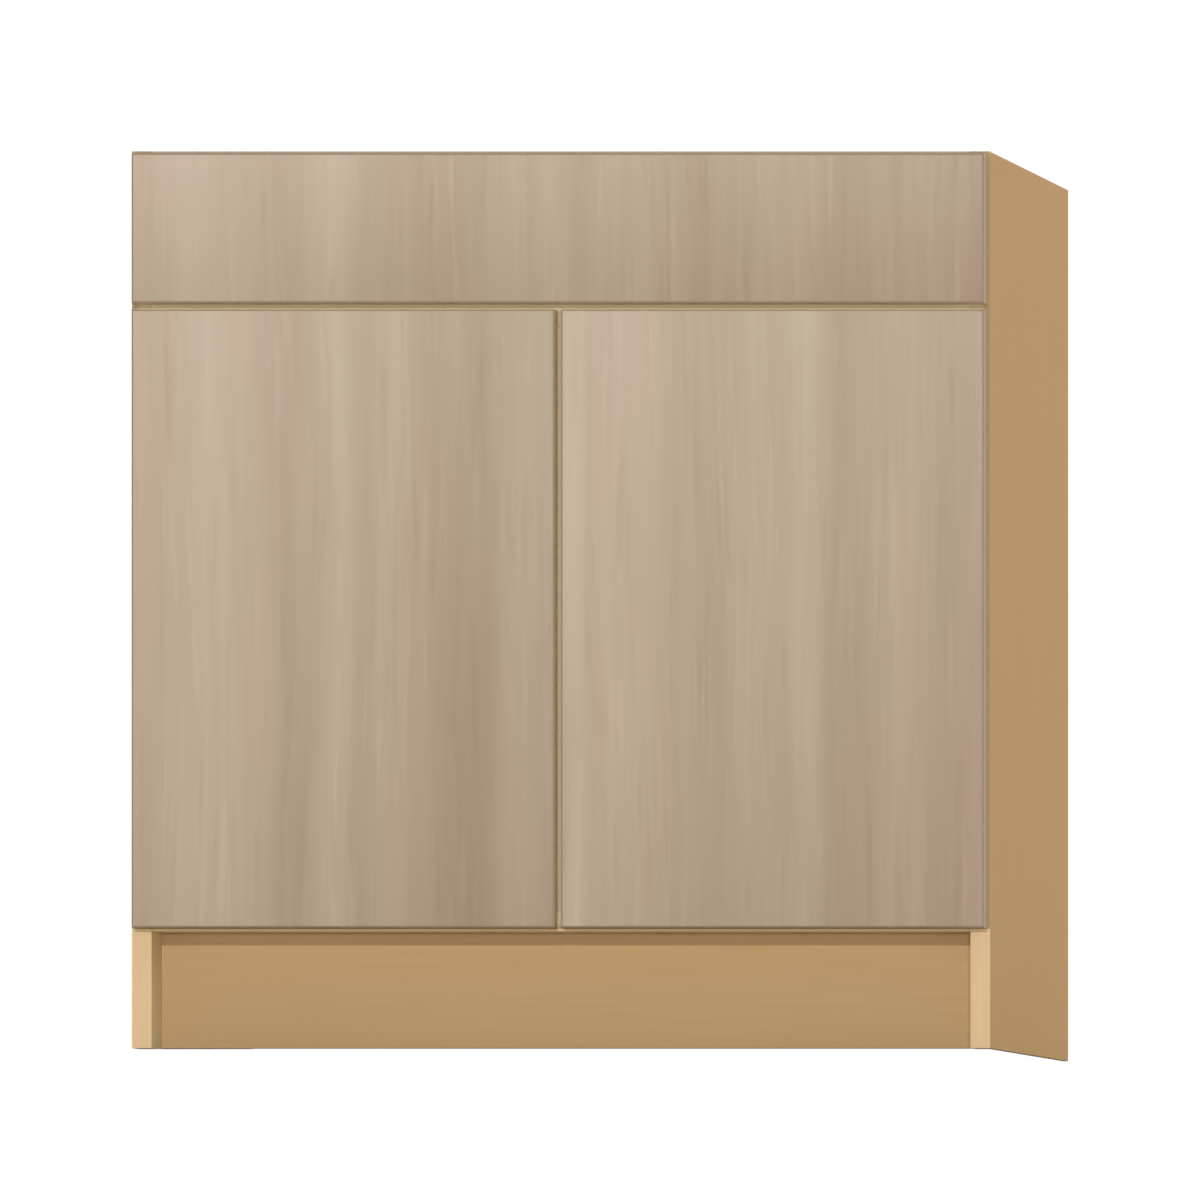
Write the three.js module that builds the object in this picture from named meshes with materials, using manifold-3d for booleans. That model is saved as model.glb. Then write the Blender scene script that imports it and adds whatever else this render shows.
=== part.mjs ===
// Sink base cabinet, 33 in wide and frameless: a fixed false front above a pair of slab doors.
// Millimetres. X runs to the right, Y from the doors to the wall and Z up. The origin is on the
// floor, in the middle of the cabinet's width and depth.
import * as THREE from 'three';
import { mergeVertices } from 'three/addons/utils/BufferGeometryUtils.js';
import Module from 'manifold-3d';

const wasm = await Module();
wasm.setup();

// The case
const cabinetWidth = 838.2;
const cabinetHeight = 876.3;
const cabinetDepth = 609.6;
const sheet = 19.05;
const backSheet = 6.35;
const grooveDepth = 9.5;
const toeHeight = 114.3;
const toeDepth = 76.2;
const toeFloorGap = 1.2;
const apronHeight = 171.45;
const stileWidth = 76.2;
const nailerHeight = 95.25;
const caseBand = 0.8;

// Fronts
const frontThickness = 19.05;
const frontStandOff = 2;
const frontReveal = 3.175;
const frontGap = 6.35;
const falseFrontHeight = 146.05;
const frontBand = 1.5;
const easedEdge = 0.8;

// Corner braces for the worktop
const braceLeg = 88.9;
const braceTip = 12;
const braceThickness = 12.7;
const braceHoleRadius = 3.5;
const braceHoleInset = 26;

// Bumpers behind the doors' free corners
const bumperRadius = 4.75;
const bumperInset = 14;

// Screws of the false front
const frontScrewSpread = 260;
const frontScrewInset = 35;
const frontScrewRadius = 2;
const frontScrewHeadRadius = 4.5;
const frontScrewHead = 1.8;
const frontScrewBite = 12.5;

// Cup hinges
const hingeInset = 96;
const cupRadius = 17.5;
const cupWall = 0.9;
const cupDepth = 11.3;
const cupEdgeDistance = 22.5;
const flangeThickness = 1;
const flangeHalfLength = 30;
const flangeHalfWidth = 7;
const flangeRim = 1.6;
const flangeSetIn = 7;
const cupPinRadius = 1.2;
const plateThickness = 2.5;
const plateScrewLine = 37;
const plateScrewSpacing = 32;
const plateWingHalfLength = 24;
const plateWingHalfWidth = 8;
const plateStart = 22;
const plateEnd = 66;
const plateScrewRadius = 2.4;
const plateScrewHeadRadius = 4;
const plateScrewHead = 1.6;
const plateScrewBite = 11;
const armHalfWidth = 6.4;
const armWall = 1.2;
const armLow = 3;
const armHigh = 13;
const armEnd = 70;
const armRise = 26;
const armKneeFromPin = 6;
const armKneeBack = 4.5;
const rearEyeRadius = 2.9;
const tipEyeRadius = 2.5;
const armPinRadius = 1.5;
const armPinHead = 0.6;
const linkThickness = 2;
const rearLinkHalfWidth = 2.4;
const tipLinkInner = 2.8;
const tipLinkOuter = 4.8;
const rearLinkEyeRadius = 2.2;
const tipLinkEyeRadius = 1.7;
const tipPinHalfLength = 11;

// Pivots of a hinge, seen from above. Across the cabinet they are set from the cup's centre. The
// rear pin lies behind the case's front, and the others lie ahead of the door's back face.
const rearPinFromCup = 15.35;
const rearPinBack = 5.1;
const tipPinFromCup = 12.2;
const tipPinDeep = 6.4;
const rearCupPinFromCup = -9.3;
const rearCupPinDeep = 2.1;
const tipCupPinFromCup = -5.45;
const tipCupPinDeep = 4;
const kneeFromPin = 8;
const kneeOffset = 1.5;

// Clearances
const panelFit = 0.2;
const glueLine = 0.1;
const grooveEndGap = 0.5;
const screwFit = 0.25;
const pinFit = 0.25;
const boreFit = 0.3;
const boreFloor = 0.5;

// How far a cutting body runs past the face that it cuts
const overrun = 1;

// The narrow end of a screw's head, as a share of its wide end
const headTaper = 0.8;

// Facets of a full circle
const fineCircle = 24;
const coarseCircle = 14;

const halfWidth = cabinetWidth / 2;
const innerHalf = halfWidth - sheet;
const doorFaceY = -cabinetDepth / 2;
const wallY = cabinetDepth / 2;
const doorBackY = doorFaceY + frontThickness;
const caseFrontY = doorBackY + frontStandOff;
const bandedFrontY = caseFrontY + caseBand + glueLine;
const nailerFrontY = wallY - sheet;
const backPanelRearY = nailerFrontY - panelFit;
const backPanelFrontY = backPanelRearY - backSheet;
const apronRearY = caseFrontY + sheet;
const deckTop = toeHeight + sheet;
const apronBottom = cabinetHeight - apronHeight;
const falseFrontTop = cabinetHeight - frontReveal;
const falseFrontBottom = falseFrontTop - falseFrontHeight;
const doorTop = falseFrontBottom - frontGap;
const doorBottom = toeHeight + frontReveal;
const frontHalf = halfWidth - frontReveal;
const doorInner = frontGap / 2;

// Hinge frame: in from the side panel's inner face and back from the case's front.
const cupIn = frontReveal + cupEdgeDistance - sheet;
const rearPin = new THREE.Vector2(cupIn + rearPinFromCup, rearPinBack);
const tipPin = new THREE.Vector2(cupIn + tipPinFromCup, -frontStandOff - tipPinDeep);
const rearCupPin = new THREE.Vector2(cupIn + rearCupPinFromCup, -frontStandOff - rearCupPinDeep);
const tipCupPin = new THREE.Vector2(cupIn + tipCupPinFromCup, -frontStandOff - tipCupPinDeep);

const group = new THREE.Group();

// Materials: each piece gets its own.
const laminate = () => new THREE.MeshStandardMaterial({ color: 0xb8a48c, roughness: 0.55, metalness: 0 });
const frontEdge = () => new THREE.MeshStandardMaterial({ color: 0xa8947c, roughness: 0.5, metalness: 0 });
const caseBoard = () => new THREE.MeshStandardMaterial({ color: 0xb59468, roughness: 0.6, metalness: 0 });
const caseEdge = () => new THREE.MeshStandardMaterial({ color: 0xd9bb8f, roughness: 0.55, metalness: 0 });
const plywood = () => new THREE.MeshStandardMaterial({ color: 0xc9a877, roughness: 0.7, metalness: 0 });
const nickel = () => new THREE.MeshStandardMaterial({ color: 0xc4c4c0, roughness: 0.3, metalness: 1 });
const zinc = () => new THREE.MeshStandardMaterial({ color: 0xb4b2a6, roughness: 0.4, metalness: 1 });
const clearRubber = () => new THREE.MeshStandardMaterial({ color: 0xdedbd0, roughness: 0.35, metalness: 0 });

function toSolid(geometry) {
  const plain = geometry.clone();
  plain.deleteAttribute('normal');
  plain.deleteAttribute('uv');
  const merged = mergeVertices(plain, 1e-4);
  return new wasm.Manifold(new wasm.Mesh({
    numProp: 3,
    vertProperties: merged.attributes.position.array,
    triVerts: Uint32Array.from(merged.index.array),
  }));
}

function toGeometry(solid) {
  const mesh = solid.getMesh();
  const geometry = new THREE.BufferGeometry();
  geometry.setAttribute('position', new THREE.BufferAttribute(mesh.vertProperties, 3));
  geometry.setIndex(new THREE.BufferAttribute(mesh.triVerts, 1));
  return geometry;
}

// The same surface with its shared corners merged.
function welded(geometry) {
  return toGeometry(toSolid(geometry));
}

function subtract(geometry, cutters) {
  let solid = toSolid(geometry);
  for (const cutter of cutters) {
    solid = solid.subtract(toSolid(cutter));
  }
  return toGeometry(solid);
}

function join(geometries) {
  let solid = toSolid(geometries[0]);
  for (const other of geometries.slice(1)) {
    solid = solid.add(toSolid(other));
  }
  return toGeometry(solid);
}

function addPart(name, geometry, material) {
  const mesh = new THREE.Mesh(geometry, material);
  mesh.name = name;
  group.add(mesh);
}

// A box between two corners.
function boxBetween(x, y, z) {
  const box = new THREE.BoxGeometry(x[1] - x[0], y[1] - y[0], z[1] - z[0]);
  return box.translate((x[0] + x[1]) / 2, (y[0] + y[1]) / 2, (z[0] + z[1]) / 2);
}

// A box that spans the same distance on both sides of the cabinet's middle.
function spanBox(half, y, z) {
  return boxBetween([-half, half], y, z);
}

// The same box on the left (hand 1) or on the right (hand -1), from distances to the middle.
function sideBox(hand, near, far, y, z) {
  const x = hand > 0 ? [-far, -near] : [near, far];
  return boxBetween(x, y, z);
}

function rodAlongX(radius, x, y, z, facets) {
  const rod = new THREE.CylinderGeometry(radius, radius, x[1] - x[0], facets);
  return rod.rotateZ(Math.PI / 2).translate((x[0] + x[1]) / 2, y, z);
}

function rodAlongY(radius, x, y, z, facets) {
  const rod = new THREE.CylinderGeometry(radius, radius, y[1] - y[0], facets);
  return rod.translate(x, (y[0] + y[1]) / 2, z);
}

function rodAlongZ(radius, x, y, z, facets) {
  const rod = new THREE.CylinderGeometry(radius, radius, z[1] - z[0], facets);
  return rod.rotateX(Math.PI / 2).translate(x, y, (z[0] + z[1]) / 2);
}

// A plate with its outline in X and Y, between two heights.
function plateBetween(points, z) {
  const shape = new THREE.Shape(points);
  const plate = new THREE.ExtrudeGeometry(shape, { depth: z[1] - z[0], bevelEnabled: false });
  return plate.translate(0, 0, z[0]);
}

// Places in the hinge frame, in the cabinet's X and Y. Hand is 1 for the left door, -1 for the right.
function acrossX(hand, inward) {
  return hand * (inward - innerHalf);
}

function hingePoint(hand, point) {
  return new THREE.Vector2(acrossX(hand, point.x), caseFrontY + point.y);
}

function sortedPair(a, b) {
  return a < b ? [a, b] : [b, a];
}

function hingeHeights() {
  return [
    { level: 'lower', z: doorBottom + hingeInset },
    { level: 'upper', z: doorTop - hingeInset },
  ];
}

function plateScrewHeights(z) {
  return [
    { end: 'bottom', z: z - plateScrewSpacing / 2 },
    { end: 'top', z: z + plateScrewSpacing / 2 },
  ];
}

// Side panel down to the floor, with its groove for the back and the holes of the hinge plates.
function addSidePanel(side, hand) {
  const board = sideBox(hand, innerHalf, halfWidth, [bandedFrontY, wallY], [0, cabinetHeight]);
  const cutters = [sideBox(hand, innerHalf - overrun, innerHalf + grooveDepth,
    [backPanelFrontY - panelFit, nailerFrontY], [-overrun, cabinetHeight + overrun])];
  const holeX = sortedPair(acrossX(hand, overrun), acrossX(hand, -plateScrewBite - screwFit));
  const holeY = caseFrontY + plateScrewLine;
  for (const hinge of hingeHeights()) {
    for (const screw of plateScrewHeights(hinge.z)) {
      cutters.push(rodAlongX(plateScrewRadius + screwFit, holeX, holeY, screw.z, coarseCircle));
    }
  }
  addPart(`side_panel_${side}`, subtract(board, cutters), caseBoard());
  const band = sideBox(hand, innerHalf, halfWidth, [caseFrontY, caseFrontY + caseBand], [0, cabinetHeight]);
  addPart(`side_band_${side}`, band, caseEdge());
}

function addBottomPanel() {
  const half = innerHalf - panelFit;
  const z = [toeHeight, deckTop];
  addPart('bottom_panel', spanBox(half, [bandedFrontY, backPanelFrontY - panelFit], z), caseBoard());
  addPart('bottom_band', spanBox(half, [caseFrontY, caseFrontY + caseBand], z), caseEdge());
}

function addBack() {
  const reach = innerHalf + grooveDepth - grooveEndGap;
  const back = spanBox(reach, [backPanelFrontY, backPanelRearY], [toeHeight, cabinetHeight]);
  addPart('back_panel', back, caseBoard());
  const half = innerHalf - panelFit;
  const depth = [nailerFrontY, wallY];
  addPart('nailer_upper', spanBox(half, depth, [cabinetHeight - nailerHeight, cabinetHeight]), plywood());
  addPart('nailer_lower', spanBox(half, depth, [toeHeight, toeHeight + nailerHeight]), plywood());
}

function frontScrewPlaces() {
  const low = falseFrontBottom + frontScrewInset;
  const high = falseFrontTop - frontScrewInset;
  return [
    { place: 'lower_left', x: -frontScrewSpread, z: low },
    { place: 'lower_right', x: frontScrewSpread, z: low },
    { place: 'upper_left', x: -frontScrewSpread, z: high },
    { place: 'upper_right', x: frontScrewSpread, z: high },
  ];
}

function frontScrewHoles() {
  const y = [doorBackY - frontScrewBite - screwFit, apronRearY + overrun];
  return frontScrewPlaces().map((screw) => (
    rodAlongY(frontScrewRadius + screwFit, screw.x, y, screw.z, coarseCircle)));
}

// Rail on edge behind the false front: it stiffens the top and leaves room for the bowl.
function addApron() {
  const rail = spanBox(innerHalf - panelFit, [caseFrontY, apronRearY], [apronBottom, cabinetHeight]);
  addPart('apron_rail', subtract(rail, frontScrewHoles()), caseBoard());
}

// Upright behind the gap between the doors.
function addStile() {
  const z = [deckTop + panelFit, apronBottom - panelFit];
  addPart('centre_stile', spanBox(stileWidth / 2, [caseFrontY, apronRearY], z), caseBoard());
}

function addToeKick() {
  const front = doorFaceY + toeDepth;
  const z = [toeFloorGap, toeHeight - panelFit];
  addPart('toe_kick_board', spanBox(innerHalf - panelFit, [front, front + sheet], z), caseBoard());
}

// Triangular brace in a top corner, with a hole for a worktop screw.
function addBrace(name, hand, cornerY, towards) {
  const cornerX = hand * (panelFit - innerHalf);
  const place = (a, b) => new THREE.Vector2(cornerX + hand * a, cornerY + towards * b);
  const outline = [
    place(0, 0),
    place(braceLeg, 0),
    place(braceLeg, braceTip),
    place(braceTip, braceLeg),
    place(0, braceLeg),
  ];
  const z = [cabinetHeight - braceThickness, cabinetHeight];
  const hole = place(braceHoleInset, braceHoleInset);
  const drill = rodAlongZ(braceHoleRadius, hole.x, hole.y, [z[0] - overrun, z[1] + overrun], coarseCircle);
  addPart(name, subtract(plateBetween(outline, z), [drill]), plywood());
}

// Core board of a front and the band round its four edges. Holes are cut in the core.
function addFront(name, x, z, holes) {
  const inset = frontBand + glueLine;
  const y = [doorFaceY, doorBackY];
  const core = boxBetween([x[0] + inset, x[1] - inset], y, [z[0] + inset, z[1] - inset]);
  addPart(name, subtract(core, holes), laminate());
  const outline = new THREE.Shape([
    new THREE.Vector2(x[0], z[0]),
    new THREE.Vector2(x[1], z[0]),
    new THREE.Vector2(x[1], z[1]),
    new THREE.Vector2(x[0], z[1]),
  ]);
  const outer = new THREE.ExtrudeGeometry(outline, {
    depth: frontThickness - 2 * easedEdge,
    bevelThickness: easedEdge,
    bevelSize: easedEdge,
    bevelOffset: -easedEdge,
    bevelSegments: 2,
  });
  outer.rotateX(Math.PI / 2).translate(0, doorBackY - easedEdge, 0);
  const inner = boxBetween([x[0] + frontBand, x[1] - frontBand], [y[0] - overrun, y[1] + overrun],
    [z[0] + frontBand, z[1] - frontBand]);
  addPart(`${name}_band`, subtract(outer, [inner]), frontEdge());
}

function addFalseFront() {
  addFront('false_front', [-frontHalf, frontHalf], [falseFrontBottom, falseFrontTop], frontScrewHoles());
  for (const screw of frontScrewPlaces()) {
    const profile = [
      new THREE.Vector2(0, -sheet - frontStandOff - frontScrewBite),
      new THREE.Vector2(frontScrewRadius, -sheet - frontStandOff - frontScrewBite + frontScrewRadius),
      new THREE.Vector2(frontScrewRadius, glueLine),
      new THREE.Vector2(frontScrewHeadRadius, glueLine),
      new THREE.Vector2(frontScrewHeadRadius * headTaper, glueLine + frontScrewHead),
      new THREE.Vector2(0, glueLine + frontScrewHead),
    ];
    const shape = new THREE.LatheGeometry(profile, coarseCircle).translate(screw.x, apronRearY, screw.z);
    addPart(`false_front_screw_${screw.place}`, welded(shape), zinc());
  }
}

function addDoor(side, hand) {
  const bores = hingeHeights().map((hinge) => rodAlongY(cupRadius + boreFit, acrossX(hand, cupIn),
    [doorBackY - cupDepth - boreFloor, doorBackY + overrun], hinge.z, fineCircle));
  const x = sortedPair(-hand * doorInner, -hand * frontHalf);
  addFront(`door_${side}`, x, [doorBottom, doorTop], bores);
  const bumperX = -hand * (doorInner + bumperInset);
  const heights = { lower: (doorBottom + deckTop) / 2, upper: (doorTop + apronBottom) / 2 };
  for (const [level, z] of Object.entries(heights)) {
    const y = [doorBackY + glueLine, caseFrontY - glueLine];
    addPart(`bumper_${side}_${level}`, rodAlongY(bumperRadius, bumperX, y, z, coarseCircle), clearRubber());
  }
}

// Cup with its flange and the bar that the rear link turns on.
function addCup(name, hand, z) {
  const inside = cupRadius - cupWall;
  const profile = [
    new THREE.Vector2(0, -cupDepth),
    new THREE.Vector2(cupRadius, -cupDepth),
    new THREE.Vector2(cupRadius, flangeThickness / 2),
    new THREE.Vector2(inside, flangeThickness / 2),
    new THREE.Vector2(inside, cupWall - cupDepth),
    new THREE.Vector2(0, cupWall - cupDepth),
  ];
  const x = acrossX(hand, cupIn);
  const pot = new THREE.LatheGeometry(profile, fineCircle).translate(x, doorBackY, z);
  const lift = [doorBackY + glueLine, doorBackY + flangeThickness];
  const rim = rodAlongY(cupRadius + flangeRim, x, lift, z, fineCircle);
  const earX = sortedPair(acrossX(hand, cupIn + flangeSetIn - flangeHalfWidth),
    acrossX(hand, cupIn + flangeSetIn + flangeHalfWidth));
  const ears = boxBetween(earX, lift, [z - flangeHalfLength, z + flangeHalfLength]);
  const mouth = rodAlongY(inside, x, [lift[0] - overrun, lift[1] + overrun], z, fineCircle);
  const flange = subtract(join([rim, ears]), [mouth]);
  const pin = hingePoint(hand, rearCupPin);
  const longBar = rodAlongZ(cupPinRadius, pin.x, pin.y, [z - cupRadius, z + cupRadius], coarseCircle);
  const core = rodAlongY(cupRadius - cupWall / 2, x, [doorBackY - cupDepth, doorBackY], z, fineCircle);
  const bar = toGeometry(toSolid(longBar).intersect(toSolid(core)));
  addPart(name, join([pot, flange, bar]), nickel());
}

// Wing plate that is screwed to the side panel and carries the arm.
function addPlate(name, hand, z) {
  const outline = [
    new THREE.Vector2(plateStart, -armHalfWidth),
    new THREE.Vector2(plateScrewLine - plateWingHalfWidth, -armHalfWidth),
    new THREE.Vector2(plateScrewLine - plateWingHalfWidth, -plateWingHalfLength),
    new THREE.Vector2(plateScrewLine + plateWingHalfWidth, -plateWingHalfLength),
    new THREE.Vector2(plateScrewLine + plateWingHalfWidth, -armHalfWidth),
    new THREE.Vector2(plateEnd, -armHalfWidth),
    new THREE.Vector2(plateEnd, armHalfWidth),
    new THREE.Vector2(plateScrewLine + plateWingHalfWidth, armHalfWidth),
    new THREE.Vector2(plateScrewLine + plateWingHalfWidth, plateWingHalfLength),
    new THREE.Vector2(plateScrewLine - plateWingHalfWidth, plateWingHalfLength),
    new THREE.Vector2(plateScrewLine - plateWingHalfWidth, armHalfWidth),
    new THREE.Vector2(plateStart, armHalfWidth),
  ];
  // The outline runs along Y and Z, and the thickness along X.
  const x = sortedPair(acrossX(hand, glueLine), acrossX(hand, glueLine + plateThickness));
  const blank = plateBetween(outline, x);
  const axes = [new THREE.Vector3(0, 1, 0), new THREE.Vector3(0, 0, 1), new THREE.Vector3(1, 0, 0)];
  blank.applyMatrix4(new THREE.Matrix4().makeBasis(...axes)).translate(0, caseFrontY, z);
  const holes = plateScrewHeights(z).map((screw) => rodAlongX(plateScrewRadius + screwFit,
    [x[0] - overrun, x[1] + overrun], caseFrontY + plateScrewLine, screw.z, coarseCircle));
  addPart(name, subtract(blank, holes), nickel());
}

function addPlateScrew(name, hand, z) {
  const top = 2 * glueLine + plateThickness;
  const profile = [
    new THREE.Vector2(0, -plateScrewBite),
    new THREE.Vector2(plateScrewRadius, plateScrewRadius - plateScrewBite),
    new THREE.Vector2(plateScrewRadius, top),
    new THREE.Vector2(plateScrewHeadRadius, top),
    new THREE.Vector2(plateScrewHeadRadius * headTaper, top + plateScrewHead),
    new THREE.Vector2(0, top + plateScrewHead),
  ];
  const screw = new THREE.LatheGeometry(profile, coarseCircle);
  screw.rotateZ(-hand * Math.PI / 2).translate(acrossX(hand, 0), caseFrontY + plateScrewLine, z);
  addPart(name, welded(screw), zinc());
}

// Arm: a channel, open towards the side panel, that runs from the plate into the cup.
function addArm(name, hand, z) {
  const point = (a, b) => hingePoint(hand, new THREE.Vector2(a, b));
  const cheek = [
    point(armLow, armEnd),
    point(armLow, armRise),
    point(rearPin.x - armKneeFromPin, rearPin.y + armKneeBack),
    point(tipPin.x - tipEyeRadius, 0),
    point(tipPin.x - tipEyeRadius, tipPin.y),
    point(tipPin.x - tipEyeRadius / 2, tipPin.y - tipEyeRadius),
    point(tipPin.x + tipEyeRadius / 2, tipPin.y - tipEyeRadius),
    point(tipPin.x + tipEyeRadius, tipPin.y),
    point(tipPin.x + tipEyeRadius, 0),
    point(rearPin.x + rearEyeRadius * Math.SQRT1_2, rearPin.y - rearEyeRadius * Math.SQRT1_2),
    point(rearPin.x + rearEyeRadius, rearPin.y),
    point(rearPin.x + rearEyeRadius, rearPin.y + rearEyeRadius),
    point(armHigh, armRise),
    point(armHigh, armEnd),
  ];
  const webEnd = rearPin.y + rearEyeRadius;
  const webInner = rearPin.x + rearEyeRadius - armWall;
  const channel = [
    point(armLow - overrun, armEnd + overrun),
    point(armLow - overrun, -cupRadius),
    point(rearPin.x + rearEyeRadius + overrun, -cupRadius),
    point(rearPin.x + rearEyeRadius + overrun, webEnd),
    point(webInner, webEnd),
    point(armHigh - armWall, armRise),
    point(armHigh - armWall, armEnd + overrun),
  ];
  const block = plateBetween(cheek, [z - armHalfWidth, z + armHalfWidth]);
  const inside = armHalfWidth - armWall;
  const cutters = [plateBetween(channel, [z - inside, z + inside])];
  const through = [z - armHalfWidth - overrun, z + armHalfWidth + overrun];
  for (const pin of [hingePoint(hand, rearPin), hingePoint(hand, tipPin)]) {
    cutters.push(rodAlongZ(armPinRadius + pinFit, pin.x, pin.y, through, coarseCircle));
  }
  addPart(name, subtract(block, cutters), nickel());
}

// A bar along a path, with a round end at its first and last point.
function linkBar(path, eyeRadius, width) {
  const pieces = [];
  for (let i = 1; i < path.length; i += 1) {
    const run = new THREE.Vector2().subVectors(path[i], path[i - 1]);
    const middle = new THREE.Vector2().addVectors(path[i], path[i - 1]).multiplyScalar(0.5);
    const bar = new THREE.BoxGeometry(run.length(), linkThickness, width[1] - width[0]);
    pieces.push(bar.rotateZ(run.angle()).translate(middle.x, middle.y, (width[0] + width[1]) / 2));
  }
  for (const [i, point] of path.entries()) {
    const radius = i > 0 && i < path.length - 1 ? linkThickness / 2 : eyeRadius;
    pieces.push(rodAlongZ(radius, point.x, point.y, width, coarseCircle));
  }
  return join(pieces);
}

// Rear link: from the arm's rear pin to the bar in the cup. Its knee clears the cup's rim.
function addRearLink(name, hand, z) {
  const along = new THREE.Vector2().subVectors(rearPin, rearCupPin).normalize();
  const knee = rearCupPin.clone().addScaledVector(along, kneeFromPin);
  knee.add(new THREE.Vector2(along.y, -along.x).multiplyScalar(kneeOffset));
  const inner = hingePoint(hand, rearPin);
  const outer = hingePoint(hand, rearCupPin);
  const width = [z - rearLinkHalfWidth, z + rearLinkHalfWidth];
  const pinLength = armHalfWidth + armPinHead;
  const solid = join([
    linkBar([inner, hingePoint(hand, knee), outer], rearLinkEyeRadius, width),
    rodAlongZ(armPinRadius, inner.x, inner.y, [z - pinLength, z + pinLength], coarseCircle),
  ]);
  const through = [width[0] - overrun, width[1] + overrun];
  const eye = rodAlongZ(cupPinRadius + pinFit, outer.x, outer.y, through, coarseCircle);
  addPart(name, subtract(solid, [eye]), nickel());
}

// Tip link: two cheeks, one on each side of the rear link, from the arm's tip to their own pin,
// which ends short of the cup's wall.
function addTipLink(name, hand, z) {
  const inner = hingePoint(hand, tipPin);
  const outer = hingePoint(hand, tipCupPin);
  const pinLength = armHalfWidth + armPinHead;
  addPart(name, join([
    linkBar([inner, outer], tipLinkEyeRadius, [z + tipLinkInner, z + tipLinkOuter]),
    linkBar([inner, outer], tipLinkEyeRadius, [z - tipLinkOuter, z - tipLinkInner]),
    rodAlongZ(armPinRadius, inner.x, inner.y, [z - pinLength, z + pinLength], coarseCircle),
    rodAlongZ(cupPinRadius, outer.x, outer.y, [z - tipPinHalfLength, z + tipPinHalfLength], coarseCircle),
  ]), nickel());
}

function addHinges(side, hand) {
  for (const hinge of hingeHeights()) {
    const label = `${side}_${hinge.level}`;
    addPlate(`hinge_plate_${label}`, hand, hinge.z);
    for (const screw of plateScrewHeights(hinge.z)) {
      addPlateScrew(`plate_screw_${label}_${screw.end}`, hand, screw.z);
    }
    addArm(`hinge_arm_${label}`, hand, hinge.z);
    addCup(`hinge_cup_${label}`, hand, hinge.z);
    addRearLink(`hinge_rear_link_${label}`, hand, hinge.z);
    addTipLink(`hinge_tip_link_${label}`, hand, hinge.z);
  }
}

for (const [side, hand] of [['left', 1], ['right', -1]]) {
  addSidePanel(side, hand);
  addBrace(`corner_brace_front_${side}`, hand, apronRearY + panelFit, 1);
  addBrace(`corner_brace_back_${side}`, hand, backPanelFrontY - panelFit, -1);
  addDoor(side, hand);
  addHinges(side, hand);
}
addBottomPanel();
addBack();
addApron();
addStile();
addToeKick();
addFalseFront();

export default group;
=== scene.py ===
import math
import bmesh
import bpy
from mathutils import Matrix, Vector


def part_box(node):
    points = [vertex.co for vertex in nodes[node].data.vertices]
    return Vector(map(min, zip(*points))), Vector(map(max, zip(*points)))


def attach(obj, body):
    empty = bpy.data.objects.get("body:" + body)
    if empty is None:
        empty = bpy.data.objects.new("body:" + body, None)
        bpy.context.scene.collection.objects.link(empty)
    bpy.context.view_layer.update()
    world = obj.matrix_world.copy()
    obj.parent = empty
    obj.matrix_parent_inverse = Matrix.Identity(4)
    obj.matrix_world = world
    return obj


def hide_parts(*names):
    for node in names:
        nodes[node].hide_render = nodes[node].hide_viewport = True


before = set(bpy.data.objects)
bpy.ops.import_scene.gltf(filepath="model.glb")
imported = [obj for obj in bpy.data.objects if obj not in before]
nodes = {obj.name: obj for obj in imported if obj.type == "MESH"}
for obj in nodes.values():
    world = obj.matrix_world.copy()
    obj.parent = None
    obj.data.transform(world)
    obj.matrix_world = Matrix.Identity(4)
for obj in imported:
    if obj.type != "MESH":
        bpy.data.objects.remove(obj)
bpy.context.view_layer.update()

# Sink base cabinet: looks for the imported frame. Metres, X to the right, Y to the wall, Z up.
scene = bpy.context.scene
hands = {"left": 1, "right": -1}      # which way along X the inside of the case lies from each side
print("frame loaded,", len(nodes), "nodes")

# A Mix node's sockets share their names, so its two colours and its mixed colour go by number.
mixA, mixB, mixed = 6, 7, 2
noiseLow, noiseHigh = 0.3, 0.7      # most of a noise texture's values lie between these


def linearColour(code):
    channels = []
    for place in (0, 2, 4):
        value = int(code[place:place + 2], 16) / 255
        channels.append(value / 12.92 if value <= 0.04045 else ((value + 0.055) / 1.055) ** 2.4)
    return (*channels, 1.0)


def addNode(tree, kind, settings=None, inputs=None):
    # A node that is given as an input stands for its first output, or for the mixed colour of a Mix node.
    node = tree.nodes.new("ShaderNode" + kind)
    for name, value in (settings or {}).items():
        setattr(node, name, value)
    for socket, value in (inputs or {}).items():
        if isinstance(value, bpy.types.Node):
            value = value.outputs[mixed if value.bl_idname == "ShaderNodeMix" else 0]
        if isinstance(value, bpy.types.NodeSocket):
            tree.links.new(value, node.inputs[socket])
        else:
            node.inputs[socket].default_value = value
    return node


def newMaterial(name):
    material = bpy.data.materials.new(name)
    material.use_nodes = True
    material.node_tree.nodes.clear()
    return material, material.node_tree


def setStops(ramp, stops, interpolation="LINEAR"):
    ramp.color_ramp.interpolation = interpolation
    elements = ramp.color_ramp.elements
    while len(elements) > 1:
        elements.remove(elements[-1])
    elements[0].position, elements[0].color = stops[0]
    for position, colour in stops[1:]:
        elements.new(position).color = colour


def greyStops(pairs):
    return [(position, (value, value, value, 1)) for position, value in pairs]


def dress(material, *names):
    for name in names:
        slots = nodes[name].data.materials
        slots.clear()
        slots.append(material)


# Fronts: printed melamine on particle board. It is pressed against a matt plate, so it looks soft, with
# broad pale streaks and hardly a highlight.

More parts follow.
